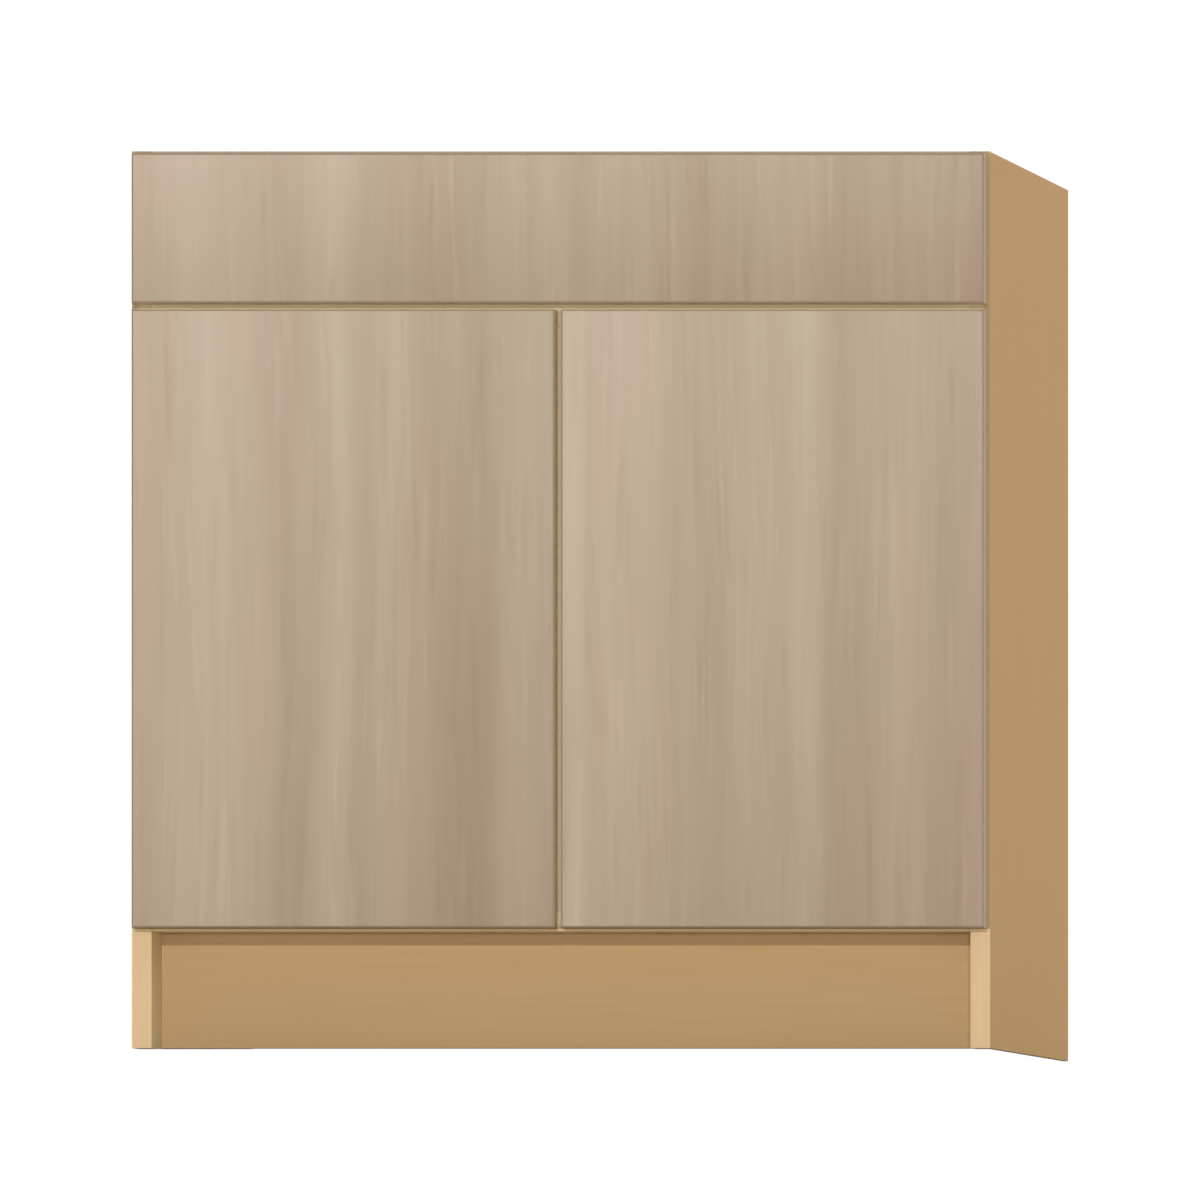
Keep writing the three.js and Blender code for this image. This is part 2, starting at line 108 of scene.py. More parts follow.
# "middle" is a front's centre in X and Z, "half" and "rise" are its half width and half height, and "shift"
# is where along the long printed sheet it was cut. "streaks" say how light the print is at shares of the
# width from the left, and "tints" say how rosy it is there. Both are set to look like the photograph.
frontLook = {
    "false_front": {
        "middle": (0.0, 0.8001), "half": 0.4159, "rise": 0.0730, "shift": 3.7,
        "streaks": [(0, .5), (.05, .8), (.1, .55), (.14, .65), (.18, .45), (.23, .85), (.27, .5), (.37, .3),
                    (.44, .6), (.47, .45), (.5, .65), (.53, .4), (.57, .65), (.67, .3), (.78, .65), (.83, .3),
                    (.9, .5), (1, .4)],
        "tints": [(0, .45), (.1, .5), (.2, .45), (.3, .6), (.42, .5), (.48, .1), (.55, .5), (.7, .45),
                  (.86, .8), (1, .7)]},
    "door_left": {
        "middle": (-0.2096, 0.4191), "half": 0.2064, "rise": 0.3016, "shift": 9.3,
        "streaks": [(0, .5), (.05, .45), (.16, .8), (.22, .6), (.31, .55), (.38, .35), (.43, .4), (.48, .85),
                    (.52, .5), (.56, .4), (.62, .65), (.7, .35), (.83, .29), (.87, .45), (.92, .65),
                    (1, .45)],
        "tints": [(0, .7), (.08, .6), (.15, .05), (.22, .6), (.38, .6), (.48, .2), (.62, .25), (.7, .7),
                  (.84, .7), (.91, .25), (1, .3)]},
    "door_right": {
        "middle": (0.2096, 0.4191), "half": 0.2064, "rise": 0.3016, "shift": 21.1,
        "streaks": [(0, .55), (.035, .85), (.07, .5), (.14, .62), (.2, .55), (.26, .45), (.35, .35),
                    (.43, .6), (.52, .5), (.56, .75), (.6, .6), (.64, .35), (.7, .35), (.77, .55),
                    (.84, .55), (.89, .4), (1, .5)],
        "tints": [(0, .2), (.05, .2), (.1, .8), (.26, .75), (.33, .25), (.5, .1), (.62, .2), (.7, .6),
                  (.85, .65), (1, .7)]},
}

# "wander" is how far the grain drifts sideways in all, in metres. "bends", "fades" and "clouds" are how
# often per metre of X, Y and Z it bends, its streaks fade and its tint changes. "fading" is how strong the
# streaks are at least and at most. "upward" and "leftward" make each front lighter towards its top and its
# left, "corners" makes it rosier, and "turning" is where its hue turns from olive to rose. "rare" is the part
# of a noise that makes flecks.
laminateLook = {
    "oliveDark": "8c765c", "oliveLight": "c6b7a0", "roseDark": "8e755d", "roseLight": "cab5a2",
    "wander": 0.024, "bends": (6.0, 6.0, 2.2), "fades": (14, 14, 3.2), "fading": (0.35, 0.95),
    "clouds": (16, 16, 3.0), "clouding": 1.6, "upward": 0.13, "leftward": 0.06, "corners": 60.0,
    "turning": (0.8, 1.8), "rare": (0.58, 0.76),
    # Real streaks are 5 to 60 mm wide and most of a door long. The fibre under them is 0.2 mm wide and
    # would vanish in a picture, so the last layer draws it 2 mm wide.
    "layers": [
        {"width": 0.034, "length": 0.80, "detail": 1.0, "weight": 0.11},
        {"width": 0.014, "length": 0.30, "detail": 1.5, "weight": 0.18},
        {"width": 0.0060, "length": 0.20, "detail": 1.5, "weight": 0.12},
        {"width": 0.0024, "length": 0.10, "detail": 2.0, "weight": 0.06}],
    # Faint dark flames and pale flecks stand out of the streaks here and there.
    "flecks": [
        {"offset": 5.3, "width": 0.0100, "length": 0.16, "weight": -0.07},
        {"offset": 8.9, "width": 0.0085, "length": 0.18, "weight": 0.08}],
    "roughness": (0.55, 0.67), "specular": 0.18, "relief": {"Strength": 0.25, "Distance": 0.0002},
}


def frontLaminate(name, look):
    material, tree = newMaterial(name)
    place = addNode(tree, "TexCoord")
    x, z = look["middle"]
    centred = addNode(tree, "Mapping", {}, {"Vector": place.outputs["Object"], "Location": (-x, 0, -z)})
    parts = addNode(tree, "SeparateXYZ", {}, {0: centred})
    # The grain wanders from side to side on its way up.
    slow = addNode(tree, "Mapping", {}, {
        "Vector": centred, "Location": (look["shift"], 0, 1.7), "Scale": laminateLook["bends"]})
    wander = addNode(tree, "TexNoise", {}, {"Vector": slow, "Scale": 1.0, "Detail": 3.0})
    pushed = addNode(tree, "Math", {"operation": "MULTIPLY_ADD"}, {
        0: wander, 1: laminateLook["wander"], 2: parts.outputs["X"]})
    across = addNode(tree, "Math", {"operation": "ADD"}, {0: pushed, 1: -laminateLook["wander"] / 2})
    grain = addNode(tree, "CombineXYZ", {}, {"X": across, "Y": parts.outputs["Y"], "Z": parts.outputs["Z"]})
    # Broad streaks at their places, which fade in and out along the board.
    share = addNode(tree, "MapRange", {}, {
        "Value": across, "From Min": -look["half"], "From Max": look["half"]})
    broad = addNode(tree, "ValToRGB", {}, {"Fac": share})
    setStops(broad, greyStops(look["streaks"]), "B_SPLINE")
    fadePlace = addNode(tree, "Mapping", {}, {
        "Vector": grain, "Location": (0, 0, look["shift"]), "Scale": laminateLook["fades"]})
    fade = addNode(tree, "TexNoise", {}, {"Vector": fadePlace, "Scale": 1.0, "Detail": 1.0})
    weakest, strongest = laminateLook["fading"]
    strength = addNode(tree, "MapRange", {}, {
        "Value": fade, "From Min": noiseLow, "From Max": noiseHigh, "To Min": weakest, "To Max": strongest})
    lifted = addNode(tree, "Math", {"operation": "SUBTRACT"}, {0: broad, 1: 0.5})
    total = addNode(tree, "Math", {"operation": "MULTIPLY"}, {0: lifted, 1: strength})
    # Finer and finer streaks on top of them, each layer from another spot of the noise.
    noises = []
    for layer in laminateLook["layers"]:
        stretched = addNode(tree, "Mapping", {}, {
            "Vector": grain, "Location": (look["shift"], layer["width"] * 300, 0),
            "Scale": (1 / layer["width"], 1 / layer["width"], 1 / layer["length"])})
        noise = addNode(tree, "TexNoise", {}, {
            "Vector": stretched, "Scale": 1.0, "Detail": layer["detail"], "Roughness": 0.6})
        swing = addNode(tree, "Math", {"operation": "SUBTRACT"}, {0: noise, 1: 0.5})
        total = addNode(tree, "Math", {"operation": "MULTIPLY_ADD"}, {0: swing, 1: layer["weight"], 2: total})
        noises.append(noise)
    rareLow, rareHigh = laminateLook["rare"]
    for fleck in laminateLook["flecks"]:
        fleckPlace = addNode(tree, "Mapping", {}, {
            "Vector": grain, "Location": (look["shift"] + fleck["offset"], fleck["offset"], 0),
            "Scale": (1 / fleck["width"], 1 / fleck["width"], 1 / fleck["length"])})
        noise = addNode(tree, "TexNoise", {}, {"Vector": fleckPlace, "Scale": 1.0, "Detail": 1.0})
        rare = addNode(tree, "MapRange", {"interpolation_type": "SMOOTHSTEP"}, {
            "Value": noise, "From Min": rareLow, "From Max": rareHigh})
        total = addNode(tree, "Math", {"operation": "MULTIPLY_ADD"}, {0: rare, 1: fleck["weight"], 2: total})
    # Each front is a little lighter towards its upper left.
    upward = addNode(tree, "MapRange", {}, {
        "Value": parts.outputs["Z"], "From Min": -look["rise"], "From Max": look["rise"],
        "To Min": -laminateLook["upward"], "To Max": laminateLook["upward"]})
    leftward = addNode(tree, "MapRange", {}, {
        "Value": parts.outputs["X"], "From Min": -look["half"], "From Max": look["half"],
        "To Min": laminateLook["leftward"], "To Max": -laminateLook["leftward"]})
    for addition in (upward, leftward):
        total = addNode(tree, "Math", {"operation": "ADD"}, {0: total, 1: addition})
    level = addNode(tree, "Math", {"operation": "ADD", "use_clamp": True}, {0: total, 1: 0.5})
    olive, rose = [addNode(tree, "Mix", {"data_type": "RGBA"}, {
        "Factor": level, mixA: linearColour(laminateLook[tint + "Dark"]),
        mixB: linearColour(laminateLook[tint + "Light"])}) for tint in ("olive", "rose")]
    # The tint has its places too, with clouds in it, and is rosier at the upper left and the lower right.
    cloudPlace = addNode(tree, "Mapping", {}, {
        "Vector": grain, "Location": (look["shift"] * 2, 0, 0), "Scale": laminateLook["clouds"]})
    cloud = addNode(tree, "TexNoise", {}, {"Vector": cloudPlace, "Scale": 1.0, "Detail": 1.0})
    rosy = addNode(tree, "ValToRGB", {}, {"Fac": share})
    setStops(rosy, greyStops(look["tints"]), "B_SPLINE")
    clouded = addNode(tree, "Math", {"operation": "MULTIPLY_ADD"}, {
        0: cloud, 1: laminateLook["clouding"], 2: rosy})
    corner = addNode(tree, "Math", {"operation": "MULTIPLY"}, {0: upward, 1: leftward})
    hue = addNode(tree, "Math", {"operation": "MULTIPLY_ADD"}, {
        0: corner, 1: laminateLook["corners"], 2: clouded})
    turnsAt, turnedAt = laminateLook["turning"]
    tone = addNode(tree, "MapRange", {}, {"Value": hue, "From Min": turnsAt, "From Max": turnedAt})
    colour = addNode(tree, "Mix", {"data_type": "RGBA"}, {"Factor": tone, mixA: olive, mixB: rose})
    # The pressed pores are shallow, so only the fine streaks reach the bump and the gloss.
    pores = noises[2]
    relief = addNode(tree, "Bump", {}, {"Height": pores, **laminateLook["relief"]})
    smooth, rough = laminateLook["roughness"]
    gloss = addNode(tree, "MapRange", {}, {
        "Value": pores, "From Min": noiseLow, "From Max": noiseHigh, "To Min": smooth, "To Max": rough})
    shader = addNode(tree, "BsdfPrincipled", {}, {
        "Base Color": colour, "Roughness": gloss, "Normal": relief,
        "Specular IOR Level": laminateLook["specular"]})
    addNode(tree, "OutputMaterial", {}, {"Surface": shader})
    return material


for front, look in frontLook.items():
    dress(frontLaminate("greigeWoodMelamine_" + front, look), front)
print("fronts: printed melamine")


# Painted shade and light: where a front stands close before a surface, its colour turns to tones that stand
# in for the shade beside a step and for the light bounced deep in a gap. This follows how open the spot is,
# so it clears when a door swings away.

# "reach" is how far away a neighbour still counts. "depth" is how open the bottom of a gap is, and the spot
# beside a step.
paintedNookLook = {"reach": 0.03, "samples": 8, "depth": (0.25, 0.45)}


def paintedNookShading(tree, place, colour, look):
    # "shade" is the painted shade beside a step and "deep" the painted tone at the bottom of a gap. It is
    # paler, painted light for the light that bounces on and on in there, which a picture cuts short.
    # "openness" is where the tone begins and is full, and "heights" is the middle and half height of the
    # stretch that takes part, if not all does.
    nook = addNode(tree, "AmbientOcclusion", {"samples": paintedNookLook["samples"]}, {
        "Distance": paintedNookLook["reach"]})
    bottom, step = paintedNookLook["depth"]
    shallow = addNode(tree, "MapRange", {}, {
        "Value": nook.outputs["AO"], "From Min": bottom, "From Max": step})
    tone = addNode(tree, "Mix", {"data_type": "RGBA"}, {
        "Factor": shallow,
        mixA: linearColour(look.get("deep", look["shade"])), mixB: linearColour(look["shade"])})
    begins, full = look["openness"]
    amount = addNode(tree, "MapRange", {}, {
        "Value": nook.outputs["AO"], "From Min": begins, "From Max": full})
    if "heights" in look:
        middle, half = look["heights"]
        parts = addNode(tree, "SeparateXYZ", {}, {0: place.outputs["Object"]})
        near = addNode(tree, "Math", {"operation": "COMPARE"}, {0: parts.outputs["Z"], 1: middle, 2: half})
        amount = addNode(tree, "Math", {"operation": "MULTIPLY"}, {0: amount, 1: near})
    return addNode(tree, "Mix", {"data_type": "RGBA"}, {"Factor": amount, mixA: colour, mixB: tone})


# Edging: extruded ABS on the fronts, darker than their print, and a pale maple print on the case. It is
# faintly streaked along its length, with a satin skin and an orange-peel ripple of about a millimetre.

# "nook" is painted light on the fronts' edging: both its tones are paler, where the edging shows in the gaps.
edgingLook = {
    "colour": "ab967e", "streak": "a08b73", "arris": "8e7a64", "roughness": (0.44, 0.56), "specular": 0.15,
    "nook": {"shade": "b5a088", "deep": "f2dfc4", "openness": (0.96, 0.8)}}
# On the case's edging, "nook" is painted shade on the strips beside the fronts, above the deck, with a paler
# painted tone at the ends of the gaps.
caseEdgingLook = {
    "colour": "d9bb8f", "streak": "d4b588", "roughness": (0.49, 0.61), "specular": 0.15,
    "nook": {"shade": "9c8562", "deep": "d0bc97", "openness": (0.96, 0.8), "heights": (0.4965, 0.38)}}
rippleLook = {"perMetre": 900.0, "relief": {"Strength": 0.12, "Distance": 0.0001}}


def edgeBand(name, look, grain):
    # grain is how many streaks there are per metre along X, Y and Z.
    material, tree = newMaterial(name)
    place = addNode(tree, "TexCoord")
    stretched = addNode(tree, "Mapping", {}, {"Vector": place.outputs["Object"], "Scale": grain})
    streak = addNode(tree, "TexNoise", {}, {"Vector": stretched, "Scale": 1.0, "Detail": 3.0})
    amount = addNode(tree, "MapRange", {}, {"Value": streak, "From Min": 0.35, "From Max": 0.75})
    colour = addNode(tree, "Mix", {"data_type": "RGBA"}, {
        "Factor": amount, mixA: linearColour(look["colour"]), mixB: linearColour(look["streak"])})
    if "arris" in look:
        # The band's front arris is painted a little darker than its flat, painted shade that draws a dark
        # outline round each front.
        turned = addNode(tree, "SeparateXYZ", {}, {0: place.outputs["Normal"]})
        front = addNode(tree, "MapRange", {}, {
            "Value": turned.outputs["Y"], "From Min": -0.35, "From Max": -0.7})
        colour = addNode(tree, "Mix", {"data_type": "RGBA"}, {
            "Factor": front, mixA: colour, mixB: linearColour(look["arris"])})
    # painted shade and light where the edging shows in reveals and gaps
    colour = paintedNookShading(tree, place, colour, look["nook"])
    ripple = addNode(tree, "TexNoise", {}, {
        "Vector": place.outputs["Object"], "Scale": rippleLook["perMetre"], "Detail": 1.0})
    relief = addNode(tree, "Bump", {}, {"Height": ripple, **rippleLook["relief"]})
    smooth, rough = look["roughness"]
    gloss = addNode(tree, "MapRange", {}, {"Value": ripple, "To Min": smooth, "To Max": rough})
    shader = addNode(tree, "BsdfPrincipled", {}, {
        "Base Color": colour, "Roughness": gloss, "Normal": relief, "Specular IOR Level": look["specular"]})
    addNode(tree, "OutputMaterial", {}, {"Surface": shader})
    return material


dress(edgeBand("absEdging", edgingLook, (160, 160, 160)),
      "false_front_band", "door_left_band", "door_right_band")
dress(edgeBand("mapleEdging", caseEdgingLook, (260, 260, 9)), "side_band_left", "side_band_right")
dress(edgeBand("mapleEdgingLevel", caseEdgingLook, (9, 260, 260)), "bottom_band")
print("edging")


# Case boards: melamine-faced particle board, tan outside and pale maple inside. The skin is smooth and satin
# with a fine pressed grain, and the chips that show at cut edges are open and matt.

# "skin" is how thick the printed skin is drawn, "pressed" is how deep its grain is against the chips, and
# "chipsPerMetre" gives pressed chips of 1 to 3 mm, each with its own tone.
boardLook = {
    "tan": "b28f5f", "tanStreak": "af8c5c", "kick": "bfa074", "kickStreak": "bc9d71",
    "maple": "e7d2a8", "mapleStreak": "e1ca9e",
    "chipStops": [(0.12, "a07e51"), (0.4, "bf9d6d"), (0.8, "d2b586")], "chipsPerMetre": 620.0,
    "skin": 0.0003, "pressed": 0.2, "roughness": 0.6, "chipRougher": 0.35, "specular": 0.05,
    "relief": {"Strength": 0.3, "Distance": 0.0004},
}
uprightGrain, levelGrain = (180, 180, 9), (9, 180, 180)     # streaks per metre along X, Y and Z
# On the apron, painted shade shows on the strip above the false front, in the gap below it and between the
# doors.
paintedStripShade = {"shade": "a69785", "openness": (0.96, 0.8), "heights": (0.8748, 0.002)}
paintedGapShade = {"shade": "d5c49f", "openness": (0.55, 0.4), "heights": (0.7239, 0.0034)}
paintedCrossShade = {"shade": "bcab8c", "openness": (0.55, 0.4), "heights": (0.7127, 0.0078)}
boards = {
    "side_panel_left": {"finish": "tanMapleBoardLeft", "axis": "X", "skins": ("tan", "maple"),
                        "grain": uprightGrain},
    "side_panel_right": {"finish": "tanMapleBoardRight", "axis": "X", "skins": ("maple", "tan"),
                         "grain": uprightGrain},
    "bottom_panel": {"finish": "mapleDeckBoard", "axis": "Z", "skins": ("maple", "maple"),
                     "grain": levelGrain},
    "apron_rail": {"finish": "mapleApronBoard", "axis": "Y", "skins": ("maple", "maple"),
                   "grain": levelGrain, "paintedNooks": [paintedStripShade, paintedGapShade, paintedCrossShade]},
    # the stile takes painted shade where it shows between the doors
    "centre_stile": {"finish": "mapleStileBoard", "axis": "Y", "skins": ("maple", "maple"),
                     "grain": uprightGrain, "paintedNooks": [{"shade": "bcab8c", "openness": (0.55, 0.4)}]},
    "toe_kick_board": {"finish": "tanKickBoard", "axis": "Y", "skins": ("kick", "kick"),
                       "grain": levelGrain},
}


def faceBoard(name, board):
    # "axis" is the board's thickness, and "skins" are its prints at the low and at the high end of it.
    low, high = [corner["XYZ".index(board["axis"])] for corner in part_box(name)]
    lowSkin, highSkin = board["skins"]
    material, tree = newMaterial(board["finish"])
    place = addNode(tree, "TexCoord")
    parts = addNode(tree, "SeparateXYZ", {}, {0: place.outputs["Object"]})
    stretched = addNode(tree, "Mapping", {}, {"Vector": place.outputs["Object"], "Scale": board["grain"]})
    streak = addNode(tree, "TexNoise", {}, {
        "Vector": stretched, "Scale": 1.0, "Detail": 4.0, "Roughness": 0.55})
    amount = addNode(tree, "MapRange", {}, {"Value": streak, "From Min": 0.35, "From Max": 0.7})
    prints = {}
    for skin in dict.fromkeys(board["skins"]):
        prints[skin] = addNode(tree, "Mix", {"data_type": "RGBA"}, {
            "Factor": amount, mixA: linearColour(boardLook[skin]),
            mixB: linearColour(boardLook[skin + "Streak"])})
    chips = addNode(tree, "TexVoronoi", {}, {
        "Vector": place.outputs["Object"], "Scale": boardLook["chipsPerMetre"]})
    tone = addNode(tree, "RGBToBW", {}, {0: chips.outputs["Color"]})
    chipRamp = addNode(tree, "ValToRGB", {}, {"Fac": tone})
    setStops(chipRamp, [(position, linearColour(code)) for position, code in boardLook["chipStops"]])
    aboveLow = addNode(tree, "Math", {"operation": "GREATER_THAN"}, {
        0: parts.outputs[board["axis"]], 1: low + boardLook["skin"]})
    aboveHigh = addNode(tree, "Math", {"operation": "GREATER_THAN"}, {
        0: parts.outputs[board["axis"]], 1: high - boardLook["skin"]})
    inner = addNode(tree, "Mix", {"data_type": "RGBA"}, {
        "Factor": aboveLow, mixA: prints[lowSkin], mixB: chipRamp})
    colour = addNode(tree, "Mix", {"data_type": "RGBA"}, {
        "Factor": aboveHigh, mixA: inner, mixB: prints[highSkin]})
    # painted shade where the board shows in reveals and gaps
    for nook in board.get("paintedNooks", []):
        colour = paintedNookShading(tree, place, colour, nook)
    isCore = addNode(tree, "Math", {"operation": "SUBTRACT"}, {0: aboveLow, 1: aboveHigh})
    rough = addNode(tree, "Math", {"operation": "MULTIPLY_ADD"}, {
        0: isCore, 1: boardLook["chipRougher"], 2: boardLook["roughness"]})
    depth = addNode(tree, "Math", {"operation": "MULTIPLY"}, {0: tone, 1: isCore})
    height = addNode(tree, "Math", {"operation": "MULTIPLY_ADD"}, {
        0: streak, 1: boardLook["pressed"], 2: depth})
    relief = addNode(tree, "Bump", {}, {"Height": height, **boardLook["relief"]})
    shader = addNode(tree, "BsdfPrincipled", {}, {
        "Base Color": colour, "Roughness": rough, "Normal": relief,
        "Specular IOR Level": boardLook["specular"]})
    addNode(tree, "OutputMaterial", {}, {"Surface": shader})
    return material


for name, board in boards.items():
    dress(faceBoard(name, board), name)
print("case boards")


# Back panel: hardboard with the maple print inside. Its bare brown fibre towards the wall has soft clouds of
# 20 mm and a 2 mm weave from the press screen, which is drawn as the fine end of the same noise.

backLook = {
    "fibre": "a07c50", "fibreDark": "8a6840", "cloud": {"Scale": 45.0, "Detail": 6.0, "Roughness": 0.7},
    "roughness": 0.72, "specular": 0.25, "relief": {"Strength": 0.25, "Distance": 0.0003},
}


def backBoard(name):
    material, tree = newMaterial(name)
    middle = sum(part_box("back_panel"), Vector()).y / 2
    place = addNode(tree, "TexCoord")
    parts = addNode(tree, "SeparateXYZ", {}, {0: place.outputs["Object"]})
    stretched = addNode(tree, "Mapping", {}, {"Vector": place.outputs["Object"], "Scale": uprightGrain})
    streak = addNode(tree, "TexNoise", {}, {"Vector": stretched, "Scale": 1.0, "Detail": 4.0})
    maple = addNode(tree, "Mix", {"data_type": "RGBA"}, {
        "Factor": streak,
        mixA: linearColour(boardLook["maple"]), mixB: linearColour(boardLook["mapleStreak"])})
    cloud = addNode(tree, "TexNoise", {}, {"Vector": place.outputs["Object"], **backLook["cloud"]})
    fibre = addNode(tree, "Mix", {"data_type": "RGBA"}, {
        "Factor": cloud, mixA: linearColour(backLook["fibre"]), mixB: linearColour(backLook["fibreDark"])})
    isBack = addNode(tree, "Math", {"operation": "GREATER_THAN"}, {0: parts.outputs["Y"], 1: middle})
    colour = addNode(tree, "Mix", {"data_type": "RGBA"}, {"Factor": isBack, mixA: maple, mixB: fibre})
    relief = addNode(tree, "Bump", {}, {"Height": cloud, **backLook["relief"]})
    shader = addNode(tree, "BsdfPrincipled", {}, {
        "Base Color": colour, "Roughness": backLook["roughness"], "Normal": relief,
        "Specular IOR Level": backLook["specular"]})
    addNode(tree, "OutputMaterial", {}, {"Surface": shader})
    return material


dress(backBoard("printedHardboard"), "back_panel")
print("back panel")


# Nailers and corner braces: birch plywood, bare and sanded, pale on its faces. Every second ply shows its
# end grain at the edges, which is darker, and the outer plies are face grain.

# "ply" is one ply's thickness, "endGrain" is how strongly the dark plies show, and "figure" is the grain.
plyLook = {
    "face": "d6b886", "faceDark": "c2a06c", "plyDark": "a8834f", "ply": 0.0015, "endGrain": 0.7,
    "figure": {"Scale": 1.0, "Detail": 5.0, "Roughness": 0.6, "Distortion": 0.4},
    "roughness": 0.7, "specular": 0.25, "relief": {"Strength": 0.35, "Distance": 0.0004},
}
nailerGrain, braceGrain = (12, 260, 260), (14, 240, 240)    # streaks per metre along X, Y and Z


def birchPly(name, node, axis, grain):
    # The plies are counted along axis, from the low end of the node.
    low, high = [corner["XYZ".index(axis)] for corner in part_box(node)]
    material, tree = newMaterial(name)
    place = addNode(tree, "TexCoord")
    parts = addNode(tree, "SeparateXYZ", {}, {0: place.outputs["Object"]})
    stretched = addNode(tree, "Mapping", {}, {"Vector": place.outputs["Object"], "Scale": grain})
    figure = addNode(tree, "TexNoise", {}, {"Vector": stretched, **plyLook["figure"]})
    amount = addNode(tree, "MapRange", {}, {"Value": figure, "From Min": noiseLow, "From Max": noiseHigh})
    face = addNode(tree, "Mix", {"data_type": "RGBA"}, {
        "Factor": amount, mixA: linearColour(plyLook["face"]), mixB: linearColour(plyLook["faceDark"])})
    depth = addNode(tree, "Math", {"operation": "SUBTRACT"}, {0: parts.outputs[axis], 1: low})
    counted = addNode(tree, "Math", {"operation": "DIVIDE"}, {0: depth, 1: plyLook["ply"] * 2})
    wave = addNode(tree, "Math", {"operation": "FRACT"}, {0: counted})
    dark = addNode(tree, "Math", {"operation": "GREATER_THAN"}, {0: wave, 1: 0.5})
    belowTop = addNode(tree, "Math", {"operation": "LESS_THAN"}, {
        0: depth, 1: high - low - plyLook["ply"] * 0.6})
    crossPly = addNode(tree, "Math", {"operation": "MULTIPLY"}, {0: dark, 1: belowTop})
    shade = addNode(tree, "Math", {"operation": "MULTIPLY"}, {0: crossPly, 1: plyLook["endGrain"]})
    colour = addNode(tree, "Mix", {"data_type": "RGBA"}, {
        "Factor": shade, mixA: face, mixB: linearColour(plyLook["plyDark"])})
    relief = addNode(tree, "Bump", {}, {"Height": figure, **plyLook["relief"]})
    shader = addNode(tree, "BsdfPrincipled", {}, {
        "Base Color": colour, "Roughness": plyLook["roughness"], "Normal": relief,
        "Specular IOR Level": plyLook["specular"]})
    addNode(tree, "OutputMaterial", {}, {"Surface": shader})
    return material


for name in ("nailer_upper", "nailer_lower"):
    dress(birchPly("birchPly_" + name, name, "Y", nailerGrain), name)
braceNames = [f"corner_brace_{end}_{side}" for end in ("front", "back") for side in hands]
dress(birchPly("birchPlyBraces", "corner_brace_front_left", "Z", braceGrain), *braceNames)
print("plywood")


# Metal: pressed steel with bright nickel, and duller, greyer zinc on the screws. Plating follows the rolled
# steel below, so it has faint drawn lines and a cloudy gloss.

metalLook = {
    "nickel": {"colour": "cfcdc8", "roughness": (0.18, 0.30), "linesPerMetre": 700.0},
    "zinc": {"colour": "c3c2b8", "roughness": (0.26, 0.42), "linesPerMetre": 1500.0},
    "drawn": (1, 0.12, 1), "cloud": {"Scale": 90.0, "Detail": 3.0},
    "relief": {"Strength": 0.08, "Distance": 0.0001},
}


def platedSteel(name, look):
    material, tree = newMaterial(name)
    place = addNode(tree, "TexCoord")
    stretched = addNode(tree, "Mapping", {}, {
        "Vector": place.outputs["Object"], "Scale": metalLook["drawn"]})
    lines = addNode(tree, "TexNoise", {}, {
        "Vector": stretched, "Scale": look["linesPerMetre"], "Detail": 2.0})
    cloud = addNode(tree, "TexNoise", {}, {"Vector": place.outputs["Object"], **metalLook["cloud"]})
    both = addNode(tree, "Math", {"operation": "MULTIPLY_ADD"}, {0: lines, 1: 0.5, 2: cloud})
    smooth, rough = look["roughness"]
    gloss = addNode(tree, "MapRange", {}, {
        "Value": both, "From Min": 0.5, "From Max": 1.0, "To Min": smooth, "To Max": rough})
    relief = addNode(tree, "Bump", {}, {"Height": lines, **metalLook["relief"]})
    shader = addNode(tree, "BsdfPrincipled", {}, {
        "Base Color": linearColour(look["colour"]), "Metallic": 1.0, "Roughness": gloss, "Normal": relief})
    addNode(tree, "OutputMaterial", {}, {"Surface": shader})
    return material


nickelPlate = platedSteel("nickelPlatedSteel", metalLook["nickel"])
zincPlate = platedSteel("zincPlatedSteel", metalLook["zinc"])
dress(nickelPlate, *[name for name in nodes if name.startswith("hinge_")])
dress(zincPlate, *[name for name in nodes if "_screw_" in name])


# Bumpers: cast soft polyurethane, clear and glossy, milky where it is thick.

bumperLook = {
    "colour": "eae7dd", "roughness": (0.16, 0.34), "clearness": 0.55, "bending": 1.5,
    "haze": {"Scale": 600.0, "Detail": 2.0}, "relief": {"Strength": 0.1, "Distance": 0.0001},
}


def clearBumper(name, look):
    material, tree = newMaterial(name)
    place = addNode(tree, "TexCoord")
    haze = addNode(tree, "TexNoise", {}, {"Vector": place.outputs["Object"], **look["haze"]})
    smooth, rough = look["roughness"]
    gloss = addNode(tree, "MapRange", {}, {"Value": haze, "To Min": smooth, "To Max": rough})
    relief = addNode(tree, "Bump", {}, {"Height": haze, **look["relief"]})
    shader = addNode(tree, "BsdfPrincipled", {}, {
        "Base Color": linearColour(look["colour"]), "Roughness": gloss, "Normal": relief,
        "Transmission Weight": look["clearness"], "IOR": look["bending"]})
    addNode(tree, "OutputMaterial", {}, {"Surface": shader})
    return material


softClear = clearBumper("clearPolyurethane", bumperLook)
dress(softClear, *[name for name in nodes if name.startswith("bumper_")])
print("metal and bumpers")


# Softened arrises on the boards and on the pressed steel, wherever faces turn by more than "turn" degrees.

softening = {"boards": 0.0004, "metal": 0.00015, "turn": 50, "weld": 0.00001}


def soften(width, names):
    for name in names:
        weld = nodes[name].modifiers.new("weld", "WELD")
        weld.merge_threshold = softening["weld"]
        arris = nodes[name].modifiers.new("arris", "BEVEL")
        arris.width = width
        arris.segments = 2
        arris.limit_method = "ANGLE"
        arris.angle_limit = math.radians(softening["turn"])


soften(softening["boards"], [*boards, "nailer_upper", "nailer_lower", *braceNames])
soften(softening["metal"], [name for name in nodes if name.startswith(("hinge_plate", "hinge_arm"))])
print("arrises")


# Small pieces are modelled once at the origin, copied, and each copy is put in its place.

